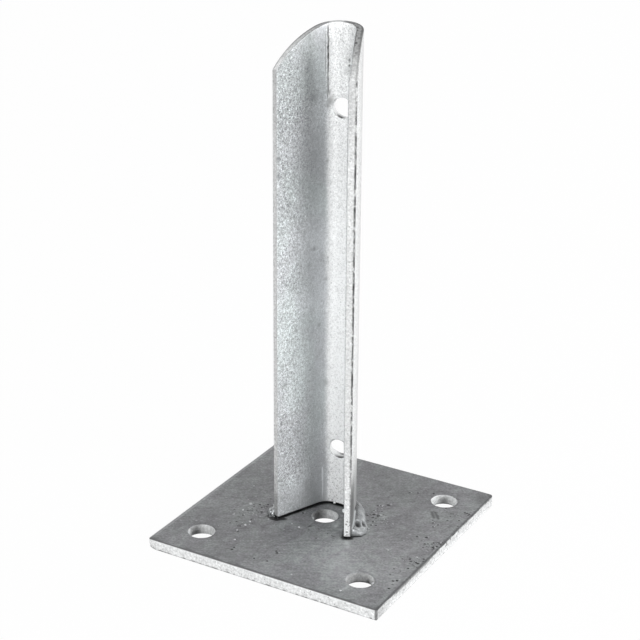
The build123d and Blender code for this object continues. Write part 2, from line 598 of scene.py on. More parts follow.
def make_layers(bm, names):
    """Opens the layers that a piece's finish reads, and gives them by name."""
    for name in names:
        bm.verts.layers.float.new(name)
    return bm.verts.layers.float


def join_to(bm, small):
    """Joins one worked shape to another."""
    mesh = bpy.data.meshes.new("joined")
    small.to_mesh(mesh)
    small.free()
    bm.from_mesh(mesh)
    bpy.data.meshes.remove(mesh)


def to_scene(bm, name, material):
    """Turns a worked shape into an object in the scene."""
    mesh = bpy.data.meshes.new(name)
    bm.to_mesh(mesh)
    bm.free()
    mesh.materials.append(material)
    made = bpy.data.objects.new(name, mesh)
    bpy.context.scene.collection.objects.link(made)
    return made


def finish_piece(bm, name, node, material):
    """Turns the worked shape into a smooth piece in metres that stands for a node."""
    for layer in ("aim", "start"):
        if layer in bm.verts.layers.float_vector.keys():
            bm.verts.layers.float_vector.remove(bm.verts.layers.float_vector[layer])
    bmesh.ops.scale(bm, vec=(MM, MM, MM), verts=bm.verts)
    piece = to_scene(bm, name, material)
    piece.data.shade_smooth()
    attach(piece, "root")
    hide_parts(node)
    return piece


# Base plate

# What the plate's finish reads from its vertices
PLATE_LAYERS = ("cut", "bore", "wall", "foot", "mark", "light", "pitted", "shade", "chipped")

# Beads on the plate: place, radius and height, thrown off by the weld or left by the dip
BEADS = [
    (32.3, -45.2, 0.55, 0.45), (-20.8, -6.4, 0.7, 0.5), (-20.9, -8.1, 0.6, 0.4), (-30.3, -6.8, 0.75, 0.45),
    (-30.2, -12.7, 0.5, 0.3), (-22.9, -19.1, 0.5, 0.3), (-23.0, -22.3, 0.6, 0.35), (-23.6, -27.3, 0.5, 0.25),
    (-20.4, -33.9, 0.5, 0.25), (-4.2, -13.0, 0.5, 0.3), (-8.0, -12.0, 0.4, 0.2), (11.4, -44.7, 0.4, 0.2),
    (-37.1, 6.5, 0.4, 0.2), (45.6, -9.9, 0.45, 0.25), (33.7, -10.7, 0.45, 0.25), (15.6, 18.5, 0.4, 0.2),
]

# Beads on the holes' rims: hole, angle and distance from its middle
RIM_BEADS = [((-ANCHOR, -ANCHOR), 218), ((ANCHOR, -ANCHOR), 6), ((0.0, 0.0), 230)]
RIM_BEAD_OUT = 5.05

# Fine spray from the weld's ends: place, spread and how many
SPRAYED = [((-25, -11), 9, 30), ((19, 8), 6, 12)]

# Dark dross specks on the plate's top: place and radius
DROSS = [
    (14.3, 8.8, 0.4), (14.8, 13.3, 0.4), (16.1, 10.8, 0.6), (18.1, 10.8, 0.65), (16.9, 8.5, 0.4),
    (14.1, 17.8, 0.4), (15.2, 18.6, 0.4), (17.4, 20.5, 0.65), (18.4, 5.7, 0.35), (19.1, 2.8, 0.35),
    (20.9, 3.5, 0.35), (20.0, 34.0, 0.4), (23.0, 35.5, 0.35), (39.1, 16.7, 0.35), (40.5, 13.9, 0.35),
    (41.5, 16.3, 0.35), (42.0, 5.3, 0.5), (38.5, 4.1, 0.35), (47.5, -0.2, 0.5), (48.3, 1.1, 0.5),
    (48.0, 4.0, 0.4), (47.9, -13.6, 0.5), (47.0, -13.4, 0.4), (44.0, -12.6, 0.35), (48.3, -9.6, 0.4),
    (46.4, -18.7, 0.4), (46.8, -28.4, 0.5), (45.7, -29.4, 0.4), (46.8, -34.8, 0.4), (28.6, 38.4, 0.4),
    (38.3, 29.8, 0.35), (46.3, 30.5, 0.4), (47.1, 30.6, 0.4), (47.0, 23.7, 0.35), (48.3, 30.3, 0.35),
    (-23.0, -10.3, 0.5), (-26.8, -5.5, 0.4), (-24.8, -7.1, 0.4), (-24.0, -3.8, 0.4), (-17.3, -40.8, 0.5),
    (-17.4, -39.1, 0.4), (-1.3, -34.2, 0.5), (-2.2, -33.2, 0.4), (-6.6, -42.1, 0.35), (-1.4, -41.1, 0.35),
    (-8.5, -2.6, 0.4), (-22.7, -28.1, 0.4), (-28.0, -16.2, 0.35), (-24.3, -24.1, 0.35), (19.2, -0.7, 0.4),
]

# Painted light and shade: patches of the top that are paler or darker: place, radius and levels
SHADES = [
    (20, -22, 15, 20), (27, -38, 13, 17), (3, -47, 16, 12), (44, -26, 7, 10), (-36, -46, 12, 6),
    (-20, -24, 9, -9), (-38, -33, 8, -10), (-40, 16, 14, -7), (20, 28, 12, -12), (34, 2, 8, -8),
    (0, 46, 8, -8), (9, 36, 10, -6),
]

# Scratches in the plate's top: both ends and half the width
SCRATCHES = [((34.7, 24.3), (37.7, 20.4), 0.4), ((35.9, 25.0), (39.5, 20.6), 0.4)]

# Zinc smears on the plate's top: both ends, half the width and how light they are
SMEARS = [
    ((33.4, -41.2), (32.5, -44.6), 0.6, 0.42), ((6.0, -0.8), (7.6, -5.0), 1.5, 0.6),
    ((7.6, -5.0), (10.4, -6.8), 1.3, 0.4), ((23.0, -28.0), (25.0, -36.0), 5.0, 0.13),
    ((-31.5, -9.0), (-29.0, -6.0), 0.5, 0.25), ((47.3, -30.0), (44.8, -31.6), 0.3, 0.3),
    ((17.2, -13.4), (19.8, -17.4), 1.0, 0.3), ((5.6, 3.4), (6.6, -1.0), 0.9, 0.4),
]

# Dirt and painted contact shadow beside the foot: both ends, half the width and how dark
FOOT_DIRT_AND_SHADOW = [
    ((-18.9, -11.6), (-16.9, -12.4), 1.2, 0.7), ((-16.9, -12.4), (-14.6, -12.4), 1.5, 0.8),
    ((-14.6, -12.4), (-12.4, -10.6), 1.2, 0.75), ((17.2, -8.9), (18.8, -7.6), 0.7, 0.8),
    ((18.8, -7.6), (20.0, -6.6), 0.6, 0.75), ((20.0, -6.6), (20.4, -4.6), 0.5, 0.5),
    ((15.3, -12.3), (17.9, -10.6), 0.8, 0.5),
]

# Patches where the top is pitted: place and radius
PITTED = [(-24, -9, 9), (-26, -20, 8), (17, 9, 7), (45, 0, 6), (46, -12, 6), (45, -28, 6), (40, 16, 4)]

# Patches of small dark specks: place, spread and how many
SPECKLED = [
    ((-24, -9), 7, 26), ((17, 9), 5, 24), ((46, 2), 5, 16), ((46, -14), 6, 16), ((43, 26), 6, 14),
    ((5, -10), 5, 5),
]

# How far down the right side its dark rolled rim reaches, by place along the side
ROLLED_RIM = [
    (-42, 0.2), (-34, 1.2), (-26, 1.3), (-8, 1.1), (0, 0.3), (10, 0.05), (30, 0.05), (34, 0.5), (38, 0.05),
]

# Painted light and shade in the holes' walls. Each hole has a level, then marks: angle, spread, depth from 0
# to 1, reach, level
WALL_LIGHT_AND_SHADE = {
    (0.0, 0.0): (184, [(152, 26, 0.6, 0.7, 66), (65, 36, 0.5, 0.9, 222), (215, 12, 0.2, 0.5, 205)]),
    (-ANCHOR, -ANCHOR): (220, [(150, 30, 0.2, 0.3, 146), (150, 26, 0.78, 0.4, 68), (204, 16, 0.3, 0.6, 230)]),
    (ANCHOR, -ANCHOR): (182, [(121, 44, 0.5, 0.6, 148), (110, 48, 1.0, 0.14, 50),
                              (86, 10, 0.8, 0.2, 56), (58, 22, 0.2, 0.3, 215)]),
    (ANCHOR, ANCHOR): (228, [(117, 26, 0.35, 0.5, 168), (117, 20, 0.6, 0.3, 120), (117, 34, 1.0, 0.16, 60)]),
    (-ANCHOR, ANCHOR): (180, []),
}


def round_corners(bm):
    """Rounds the plate's corners in plan."""
    for vertex in bm.verts:
        radius = PLATE_CORNERS[copysign(1, vertex.co.x), copysign(1, vertex.co.y)]
        inside = HALF_SIDE - radius
        u, v = (abs(vertex.co.x) - inside) / radius, (abs(vertex.co.y) - inside) / radius
        if u > 0 and v > 0:
            x = inside + radius * u * sqrt(1 - v * v / 2)
            y = inside + radius * v * sqrt(1 - u * u / 2)
            vertex.co.x = copysign(x, vertex.co.x)
            vertex.co.y = copysign(y, vertex.co.y)


def nearest_bore(place):
    """The plate's hole nearest to a place, and how far from its wall the place is."""
    bore = min(BORES, key=lambda at: apart(place, *at))
    return bore, apart(place, *bore) - BORE_RADIUS


def tone(level, marks, angle, depth):
    """A level from 0 to 1 of painted light and shade in a hole's wall, with its marks."""
    for middle, spread, down, reach, other in marks:
        level += (other - level) * hump(turned_from(angle, middle), spread) * hump(depth - down, reach)
    return level / 255


def punch(bm, bore, wall):
    """Notes the painted light and shade of the holes' walls, and widens the holes at the bottom, where a
    punch breaks out.
    """
    for vertex in bm.verts:
        place = vertex.co
        (x, y), away = nearest_bore(place)
        if away < BORE_RIM + 0.05:
            flare = BORE_FLARE * fall(place.z, 0.0, PLATE_THICKNESS * 0.55)
            angle = atan2(place.y - y, place.x - x)
            level, marks = WALL_LIGHT_AND_SHADE[x, y]
            vertex[bore] = 1.0 if away < BORE_RIM * 0.6 else 0.5
            vertex[wall] = tone(level, marks, degrees(angle) % 360, 1 - place.z / PLATE_THICKNESS)
            place.x += flare * cos(angle)
            place.y += flare * sin(angle)


def plate_relief(mark):
    """Low waves of the dipped coat, pits, a ragged sheared side and soft lips round the holes."""

    def rise(vertex):
        place = vertex.co
        facing = vertex.normal
        if facing.z < -0.5:
            return -0.02 - 0.02 * wander(place, 9, 4)
        side = 1 - abs(facing.z)
        waves = 0.035 * wander(place, 11) + 0.018 * wander(place, 3.2, 7) - 0.1 * vertex[mark]
        ragged = -0.10 + 0.05 * wander((place.x, place.y, place.z * 2), 1.6, 11) + 0.05 * wander(place, 6, 2)
        total = waves * (1 - side) + ragged * side
        (x, y), away = nearest_bore(place)
        if away < 2.0 and side < 0.7:
            lip = 0.05 + 0.08 * wander(place, 2.4, 20 + x + 2 * y)
            total += lip * hump(away - 0.45, 0.5)
        return total

    return rise


def roll_left_edge(bm):
    """Rolls the top down a little along the left side, where the plate was sheared."""
    width, drop, middle = 1.3, 0.45, PLATE_THICKNESS / 2
    for vertex in bm.verts:
        over = (width - HALF_SIDE - vertex.co.x) / width
        if over > 0 and vertex.co.z > middle:
            vertex.co.z -= drop * over**2 * (vertex.co.z - middle) / middle


def knock_left_corner(bm):
    """Takes the bottom off the plate's left corner, and keeps the whole underside on the floor."""
    reach, height, lifted, pushed = 4.0, 2.0, 1.1, 0.25
    for vertex in bm.verts:
        place = vertex.co
        place.z = max(place.z, 0.0)
        near = reach - (place.x + place.y + PLATE_SIDE)
        if near > 0 and place.z < height:
            share = (near / reach) ** 1.5
            place.z += lifted * share * (1 - place.z / height)
            place.x += pushed * share
            place.y += pushed * share


def strip_gap(x, y):
    """How far a point of the plate's top is from the upright's foot, and whether it is inside the channel."""
    across, down = abs(x) - WEB_FLAT / 2, y - (WEB_SETBACK - BEND_RADIUS)
    normal = Vector((sin(BEND_TURN), cos(BEND_TURN)))
    run = Vector((cos(BEND_TURN), -sin(BEND_TURN)))
    place = Vector((across, down))
    past = 0.0
    if across < 0:
        offset = down - BEND_RADIUS
    elif place.dot(run) < 0 and down > 0:
        offset = place.length - BEND_RADIUS
    else:
        offset = place.dot(normal) - BEND_RADIUS
        past = max(place.dot(run) - (HALF_STRIP - WEB_FLAT / 2 - BEND_ARC), 0.0)
    aside = max(-offset, offset - STRIP_THICKNESS, 0.0)
    return hypot(aside, past), offset < STRIP_THICKNESS / 2


def note_foot(vertex, foot):
    """Notes the dark line where the upright stands on the plate and the soft darkening beside it, painted
    contact shadow together with flux dirt.
    """
    place = vertex.co
    if abs(place.x) < 22 and -16 < place.y < 18:
        away, inside = strip_gap(place.x, place.y)
        ragged = 0.35 * wander(place, 2.2, 31)
        right_end = step(place.x, 12, 15) * fall(place.y, -10, -8)
        line = fall(away, 0.45, 1.1 + ragged + right_end * 0.7 * wander(place, 0.9, 37))
        soft = 0.34 * fall(away, 0.4, 2.6 + 2 * ragged) * step(place.y, 2, 6)
        vertex[foot] = max(line, soft) * (1.0 if inside else 0.75)
        for start, end, half, share in FOOT_DIRT_AND_SHADOW:
            beside = line_away(place, start, end)
            deepen(vertex, foot, share * fall(beside, half * 0.5, half + ragged))


def line_away(place, start, end):
    """How far a place is from a straight line between two points."""
    start, run = Vector(start), Vector(end) - Vector(start)
    share = min(max((place.xy - start).dot(run) / run.length_squared, 0), 1)
    return (place.xy - start - run * share).length


def note_marks(vertex, mark, light, pitted, shade):
    """Notes the top's painted light and shade patches, scratches, zinc smears and pits."""
    place = vertex.co
    vertex[shade] = patched(place, SHADES)
    for start, end, half in SCRATCHES:
        deepen(vertex, mark, 0.8 * hump(line_away(place, start, end), half))
    for start, end, half, share in SMEARS:
        away = line_away(place, start, end)
        if away < 2 * half:
            uneven = 0.75 + 0.9 * wander(place, 1.4, 17) * (half < 3)
            deepen(vertex, light, share * uneven * hump(away, half))
    for x, y, radius in PITTED:
        deepen(vertex, pitted, fall(apart(place, x, y), radius * 0.3, radius))


def note_rims(vertex, mark, light):
    """Notes the dark and light lines along the plate's rims, with a painted highlight along the left rim and
    painted shade on one side of each hole's rim, and its two dark right corners.
    """
    place = vertex.co
    front, right, left = place.y + HALF_SIDE, HALF_SIDE - place.x, place.x + HALF_SIDE
    if front < 2:
        width = 1.1 + 0.7 * wander(place, 6, 41)
        deepen(vertex, mark, 0.62 * fall(front, width * 0.5, width))
    if right < 2:
        chips = step(wander(place, 2.4, 43), 0.02, 0.3)
        deepen(vertex, mark, 0.6 * chips * fall(right, 0.6, 1.5))
    # Painted highlight along the left rim, where its rolled edge starts.
    deepen(vertex, light, 0.42 * hump(left - 1.45, 0.32) * step(place.y, -48, -44))
    # Painted shade in a thin ring on one side of each hole's rim.
    (x, y), away = nearest_bore(place)
    if away < 1.5:
        shadowed = fall(x - place.x + y - place.y, -3, 3)
        deepen(vertex, mark, 0.24 * hump(away - 0.5, 0.3) * shadowed)
    deepen(vertex, mark, 0.3 * fall(apart(place, 48, 44), 1.5, 6.5))
    deepen(vertex, mark, 0.45 * step(place.x + place.y, PLATE_SIDE - 4.4, PLATE_SIDE - 3))


def note_right_side(vertex, mark, chipped, shade):
    """Notes the right side's chips, its upper part painted darker, and the dark rim rolled over it."""
    place = vertex.co
    lumps = step(wander(place, 3.2, 57), -0.25, 0.3)
    vertex[chipped] = (0.12 + 0.75 * step(place.z, 1.6, 3.8)) * lumps
    near_corner = fall(place.y, -48, -38)
    if place.z < PLATE_THICKNESS - 0.4:
        shaded = step(place.z, 0.6 - 2 * near_corner, 2.4 - 2 * near_corner)
        vertex[shade] = -(20 + 20 * near_corner) * shaded
    rolled = along(ROLLED_RIM, place.y) * (1 + 0.6 * wander(place, 2.0, 59))
    over = step(place.z, PLATE_THICKNESS - rolled, PLATE_THICKNESS - rolled * 0.7)
    deepen(vertex, mark, 0.5 * over)
    if place.y < 0.7 - HALF_SIDE:
        deepen(vertex, mark, 0.5)


def note_front_side(vertex, mark, light):
    """Notes the dotted dark line along the front's bottom rim, and the light one along its top rim."""
    place = vertex.co
    dots = step(wander(place, 1.5, 53), -0.1, 0.35)
    deepen(vertex, mark, 0.55 * dots * fall(place.z, 0.35, 0.9))
    if place.z > PLATE_THICKNESS - 1.0:
        deepen(vertex, light, 0.5 * step(place.z, PLATE_THICKNESS - 1.0, PLATE_THICKNESS - 0.5))


def note_plate(bm, kept):
    """Notes all that the finish is to show on the plate's top and sides."""
    mark, light, shade = kept["mark"], kept["light"], kept["shade"]
    foot, pitted, chipped = kept["foot"], kept["pitted"], kept["chipped"]
    edge = HALF_SIDE - 0.6
    for vertex in bm.verts:
        place = vertex.co
        if place.z > PLATE_THICKNESS - 0.4:
            note_foot(vertex, foot)
            note_marks(vertex, mark, light, pitted, shade)
            note_rims(vertex, mark, light)
        if place.y < edge and place.x > edge:
            note_right_side(vertex, mark, chipped, shade)
        elif place.y < edge and max(abs(place.x), abs(place.y)) > edge:
            note_front_side(vertex, mark, light)


def plate_beads():
    """Beads of zinc and dark dross specks on the plate's top and at the holes' rims."""
    bm = bmesh.new()
    make_layers(bm, PLATE_LAYERS)
    for x, y, radius, height in BEADS:
        add_bead(bm, (x, y, PLATE_THICKNESS), (radius, radius * 0.85, height), light=0.55)
    for (x, y), angle in RIM_BEADS:
        turn = radians(angle)
        middle = (x + RIM_BEAD_OUT * cos(turn), y + RIM_BEAD_OUT * sin(turn), PLATE_THICKNESS - 0.3)
        add_bead(bm, middle, (0.6, 0.6, 0.5), light=0.7)
    dice = random.Random(5)
    for middle, spread, count in SPRAYED:
        for _ in range(count):
            x, y = (dice.gauss(centre, spread * 0.6) for centre in middle)
            radius = dice.uniform(0.2, 0.45)
            radii = (radius, radius * 0.85, dice.uniform(0.12, 0.25))
            add_bead(bm, (x, y, PLATE_THICKNESS), radii, light=0.35)
    for x, y, radius in DROSS:
        add_bead(bm, (x, y, PLATE_THICKNESS), (radius * 1.25, radius, 0.13), mark=0.95)
        beside = (x + radius, y + radius * 1.6, PLATE_THICKNESS)
        add_bead(bm, beside, (radius * 0.9, radius * 0.8, 0.12), light=dice.uniform(0.1, 0.4))
    for middle, spread, count in SPECKLED:
        for _ in range(count):
            x, y = (min(dice.gauss(centre, spread * 0.6), 49.0) for centre in middle)
            radius = dice.uniform(0.16, 0.34)
            radii = (radius * 1.5, radius, 0.1)
            add_bead(bm, (x, y, PLATE_THICKNESS), radii, mark=dice.uniform(0.4, 0.95))
    return bm


def make_plate(material):
    """Square plate with four anchor holes and one in the middle."""
    bm = bmesh.new()
    aim = bm.verts.layers.float_vector.new("aim")
    start = bm.verts.layers.float_vector.new("start")
    kept = make_layers(bm, PLATE_LAYERS)
    cells = round(PLATE_SIDE / PLATE_CELL)
    flat_sheet(bm, PLATE_SIDE, PLATE_SIDE, cells, cells, (0, 0, 0))
    marked = [mark_hole(bm, bore, BORE_CELL, BORE_RADIUS, aim) for bore in BORES]
    for faces, edges in marked:
        open_hole(bm, faces, edges, BORE_RINGS, aim, start)
    thicken(bm, PLATE_THICKNESS, PLATE_STEPS)
    edge = HALF_SIDE - 0.01
    round_rims(bm, PLATE_RIM, lambda at: max(abs(at.x), abs(at.y)) > edge)
    round_rims(bm, BORE_RIM, lambda at: max(abs(at.x), abs(at.y)) < edge, 2)
    note_cut(bm, kept["cut"])
    note_plate(bm, kept)
    punch(bm, kept["bore"], kept["wall"])
    round_corners(bm)
    roll_left_edge(bm)
    lift(bm, plate_relief(kept["mark"]))
    knock_left_corner(bm)
    join_to(bm, plate_beads())
    return finish_piece(bm, "plate_body", "base_plate", material)


# Upright

# What the upright's finish reads from its vertices
STRIP_LAYERS = ("cut", "strip_length", "inner", "mark", "light", "bore", "wall", "shade")

# Painted light and shade in the screw holes' walls by height, white as a painted highlight with dark marks,
# as for the plate's holes; depth runs from the inner face outwards
SCREW_WALL_LIGHT_AND_SHADE = {
    25.0: (255, [(282, 30, 0.05, 0.22, 36), (290, 28, 0.8, 0.22, 60)]),
    163.0: (255, [(255, 24, 0.15, 0.4, 48)]),
}

# Dull patches round the screw holes: hole, angle, spread, width of the ring and how dark
SCREW_DIRT = [(25.0, 110, 40, 0.8, 0.1), (163.0, 140, 13, 1.3, 0.9), (163.0, 68, 24, 1.3, 0.2)]

# Dark specks on the inner face: length, height, radius and how dark
STRIP_MARKS = [
    (-4.9, 165.3, 1.6, 0.42), (-5.8, 163.5, 1.0, 0.35), (-6.5, 168.5, 0.8, 0.5), (-6.9, 142.5, 0.6, 0.3),
    (2.7, 180.9, 0.6, 0.8), (2.8, 178.9, 0.5, 0.8), (3.0, 177.0, 2.2, 0.14), (3.2, 183.0, 2.2, 0.12),
    (-13.0, 167.3, 1.2, 0.22), (-16.1, 178.5, 0.7, 0.25), (-24.9, 128.7, 0.7, 0.4), (-26.3, 140.4, 0.7, 0.35),
    (-26.4, 56.7, 0.7, 0.35), (-12.9, 109.0, 0.7, 0.35), (-15.2, 103.1, 0.7, 0.25), (-10.3, 77.6, 0.7, 0.35),
    (-21.2, 77.8, 0.7, 0.3), (-23.1, 95.3, 0.6, 0.25), (-6.9, 96.0, 0.8, 0.25), (-6.5, 53.0, 1.2, 0.2),
    (-29.0, 147.0, 0.8, 0.35), (-29.0, 140.0, 0.7, 0.4), (-0.1, 74.4, 0.6, 0.2),
]

# Patches of the left flange that are paler or duller: length, height, radius and levels
STRIP_SHADES = [
    (-13.5, 113.0, 7, 13), (-19.5, 98.5, 6, -14), (-26.0, 99.0, 5, -8), (-8.0, 103.5, 4, -11),
    (-21.0, 13.0, 6, 26), (-9.5, 31.0, 5, 9), (-8.6, 179.5, 5, 14), (-24.6, 151.0, 6, 10),
    (-25.8, 138.0, 6, 9), (-25.0, 48.0, 5, 12), (-14.6, 86.0, 5, 9), (-16.1, 177.8, 5, -8),
    (-13.3, 168.2, 5, -12), (-14.0, 136.2, 7, -8),
]

# How far the right flange's outer edge is thickened, by height
EDGE_SWELL = [(10, 0.0), (30, 0.35), (90, 0.5), (150, 0.6), (175, 0.5), (195, 0.2)]

# Dark stretches along the right flange's outer edge: height, half length and how dark
EDGE_DARK_STRETCHES = [
    (147, 9, 0.7), (133, 3, 0.9), (118, 5, 0.6), (104, 3, 0.75), (92, 6, 0.5), (66, 4, 0.6), (38, 5, 0.4),
]

# How strong the lines scored beside the left bend are, by height: the dark crease, a faint dark line
# beside it, and a raised light ridge near the foot. The dark of the crease and the faint line is painted
# shade.
CREASE = [
    (166, 0.5), (177, 0.6), (178.3, 0.95), (180, 0.45), (182, 0.95), (186, 0.75), (188.4, 0.55),
    (189.4, 1.1), (191.4, 1.4), (192.5, 0.7), (194, 0.35),
]
FAINT_LINE = [(172, 0.4), (192, 0.25)]
FOOT_RIDGE = [(0, 0.85), (17, 0.7)]


def crown_height(length):
    """Height of the strip's arched end above the plate, by length along the flat strip."""
    radius = (HALF_STRIP**2 + CROWN_RISE**2) / (2 * CROWN_RISE)
    return UPRIGHT_HEIGHT - radius + sqrt(radius**2 - min(abs(length), HALF_STRIP) ** 2)


def bent_place(length, offset, height):
    """Where a point of the flat strip lies once it is bent and stood on the plate."""
    reached = abs(length)
    radius = BEND_RADIUS + offset
    bent = min(max(reached - WEB_FLAT / 2, 0), BEND_ARC) / BEND_ARC * BEND_TURN
    flat = max(reached - WEB_FLAT / 2 - BEND_ARC, 0)
    x = min(reached, WEB_FLAT / 2) + radius * sin(bent) + flat * cos(BEND_TURN)
    y = WEB_SETBACK + offset - radius * (1 - cos(bent)) - flat * sin(BEND_TURN)
    return Vector((copysign(x, length), y, PLATE_THICKNESS + height))


def web_length(across, offset):
    """Strip length at which the bent strip stands that far from its middle plane."""
    past = max(abs(across) - WEB_FLAT / 2, 0)
    bent = asin(min(past / (BEND_RADIUS + offset), 1))
    return copysign(min(abs(across), WEB_FLAT / 2) + bent * (BEND_RADIUS + STRIP_THICKNESS / 2), across)


def true_length(flat):
    """Strip length of a point, so that the screw holes are round once the strip is bent."""
    for height in SCREW_HEIGHTS:
        away = apart(flat, 0, height)
        if away < SCREW_CELL:
            share = fall(away, SCREW_RADIUS + 0.5, SCREW_CELL)
            return flat.x + (web_length(flat.x, flat.z) - flat.x) * share
    return flat.x


def score_line(bm, low, high, width, depth, fade, layer, strengths, wiggle=0.0):
    """A narrow line pressed into the strip's inner face, or raised from it, between two flat points."""
    low, high = Vector(low), Vector(high)
    run = high - low
    direction = run.normalized()
    across = Vector((direction.y, -direction.x, 0))
    for shift in (-width / 2, 0, width / 2):  # one side, the middle and the other side
        faces = [f for f in bm.faces if low.y - 2 < f.calc_center_median().y < high.y + 2]
        near = {g for f in faces for g in (f, *f.edges, *f.verts)}
        at = Vector((low.x, low.y, 0)) + across * shift
        bmesh.ops.bisect_plane(bm, geom=list(near), dist=1e-5, plane_co=at, plane_no=across)
    for vertex in bm.verts:
        place = vertex.co.xy - low
        reached = place.dot(direction)
        if vertex.co.z < 0.2 and abs(place.dot(across.xy)) < width / 8 and 0 < reached < run.length:
            share = step(reached, 0, fade) * step(run.length - reached, 0, 1)
            uneven = 1 + wander((0, reached, 0), 1.7, 19) * (wiggle > 0)
            vertex[layer] = along(strengths, vertex.co.y) * share * uneven
            vertex.co.z += depth * share
            vertex.co.x += wiggle * wander((0, reached, 0), 2.6, 83)


def open_foot(bm):
    """Lifts the inner half of the strip's foot a little off the plate, so that a dark gap shows under it."""
    for vertex in bm.verts:
        place = vertex.co
        if place.y < 0.7:
            ragged = 1 + 0.35 * wander((place.x, 0, 0), 5, 61)
            place.y += (0.22 + 0.14 * hump(place.x, 14)) * ragged * fall(place.z, 0.8, 2.0)


def note_screw_holes(bm, kept):
    """Notes the painted light and shade of the screw holes' walls and the dirt beside them, and flares the
    walls.
    """
    bore, wall, mark, cut = (kept[name] for name in ("bore", "wall", "mark", "cut"))
    for vertex in bm.verts:
        place = vertex.co
        height = min(SCREW_HEIGHTS, key=lambda at: abs(at - place.y))
        away = apart(place, 0, height) - SCREW_RADIUS
        if away > 3:
            continue
        turn = atan2(place.y - height, place.x)
        angle = degrees(turn) % 360
        depth = place.z / STRIP_THICKNESS
        if away < 1:
            level, marks = SCREW_WALL_LIGHT_AND_SHADE[height]
            vertex[wall] = tone(level, marks, angle, depth)
        if away < SCREW_RIM + 0.05:
            vertex[bore] = 1.0
            vertex[cut] = 0.0
            place.x -= SCREW_FLARE * depth * step(-cos(turn), 0, 0.8)
            if height == SCREW_HEIGHTS[0]:
                place.y += SCREW_FLARE * depth * step(-sin(turn), 0.3, 0.9)
        elif place.z < 0.3:
            for at, middle, spread, width, share in SCREW_DIRT:
                if at == height:
                    dirt = hump(turned_from(angle, middle), spread) * fall(away, width * 0.4, width)
                    deepen(vertex, mark, share * dirt)


def note_strip_marks(bm, mark, shade):
    """Notes the dark specks and the paler and duller patches on the strip's inner face."""
    for vertex in bm.verts:
        place = vertex.co
        if place.z < 0.3:
            vertex[shade] = patched(place, STRIP_SHADES)
            for length, height, radius, share in STRIP_MARKS:
                if abs(place.y - height) < 3:
                    deepen(vertex, mark, share * hump(apart(place, length, height), radius))


def note_edge_darkening(bm, mark):
    """Notes the dark stretches beside the right flange's outer edge."""
    for vertex in bm.verts:
        length, height, offset = vertex.co
        if length > 26 and offset > STRIP_THICKNESS * 0.8:
            rough = max(0.7 + 1.4 * wander((length, height, offset), 2.0, 71), 0)
            for at, half, share in EDGE_DARK_STRETCHES:
                deepen(vertex, mark, share * rough * hump(height - at, half) * step(length, 28.2, 29.4))


def swell_edge(bm):
    """Thickens the right flange's outer edge inwards, where zinc gathered on it above the foot."""
    for vertex in bm.verts:
        near = step(vertex.co.x, 27.6, 29.2)
        if near > 0:
            swell = along(EDGE_SWELL, vertex.co.y) * (1 + 0.3 * wander(vertex.co, 6, 91))
            vertex.co.z -= swell * near * (1 - vertex.co.z / STRIP_THICKNESS)


def strip_relief(cut):
    """Low waves of the dipped coat on the faces, and a ragged cut along the strip's edges."""

    def rise(vertex):
        place = vertex.co
        side = step(vertex[cut], 0.2, 0.8)
        waves = 0.03 * wander(place, 12, 1) + 0.02 * wander(place, 3.5, 5)
        ragged = -0.09 + 0.04 * wander(place, 1.8, 9) + 0.05 * wander(place, 7, 13)
        return waves * (1 - side) + ragged * side

    return rise


def make_upright(material):
    """Strip with an arched end and two screw holes, bent to a channel with splayed flanges."""
    bm = bmesh.new()
    aim = bm.verts.layers.float_vector.new("aim")
    start = bm.verts.layers.float_vector.new("start")
    kept = make_layers(bm, STRIP_LAYERS)
    rows = int(UPRIGHT_HEIGHT / STRIP_CELL)
    tall = rows * STRIP_CELL
    flat_sheet(bm, STRIP_WIDTH, tall, round(STRIP_WIDTH / STRIP_CELL), rows, (0, tall / 2, 0))
    marked = [mark_hole(bm, (0, height), SCREW_CELL, SCREW_RADIUS, aim) for height in SCREW_HEIGHTS]
    for vertex in bm.verts:
        if vertex.co.y > CROWN_START:
            share = (vertex.co.y - CROWN_START) / (tall - CROWN_START)
            vertex.co.y = CROWN_START + share * (crown_height(vertex.co.x) - CROWN_START)
    for faces, edges in marked:
        open_hole(bm, faces, edges, SCREW_RINGS, aim, start)
    thicken(bm, STRIP_THICKNESS, STRIP_STEPS)

    def on_screw_hole(at):
        return any(apart(at, 0, height) < SCREW_RADIUS + 0.5 for height in SCREW_HEIGHTS)

    round_rims(bm, STRIP_RIM, lambda at: not on_screw_hole(at))
    round_rims(bm, SCREW_RIM, on_screw_hole, 2)
    note_cut(bm, kept["cut"])
    score_line(bm, (-6.6, 165.5), (-6.85, 194), 1.1, 0.28, 1.5, kept["mark"], CREASE, 0.45)
    score_line(bm, (-7.85, 172), (-8.15, 192), 0.6, 0.05, 6, kept["mark"], FAINT_LINE)
    score_line(bm, (-7.75, 0.5), (-7.9, 17), 1.3, -0.14, 5, kept["light"], FOOT_RIDGE)
    note_strip_marks(bm, kept["mark"], kept["shade"])
    note_screw_holes(bm, kept)
    note_edge_darkening(bm, kept["mark"])
    open_foot(bm)
    swell_edge(bm)
    for vertex in bm.verts:
        length = true_length(vertex.co)
        vertex[kept["strip_length"]] = length
        vertex[kept["inner"]] = 1 - vertex.co.z / STRIP_THICKNESS
        vertex.co = bent_place(length, vertex.co.z, vertex.co.y)
    face_outwards(bm)
    lift(bm, strip_relief(kept["cut"]))
    add_bead(bm, bent_place(-1.5, -0.25, 0.55), (0.55, 0.5, 0.45), light=0.9, inner=1.0)
    add_bead(bm, bent_place(29.3, -0.1, 11.4), (0.75, 0.5, 0.9), light=0.5, inner=1.0, strip_length=29.0)
    return finish_piece(bm, "upright_strip", "upright", material)


# Weld

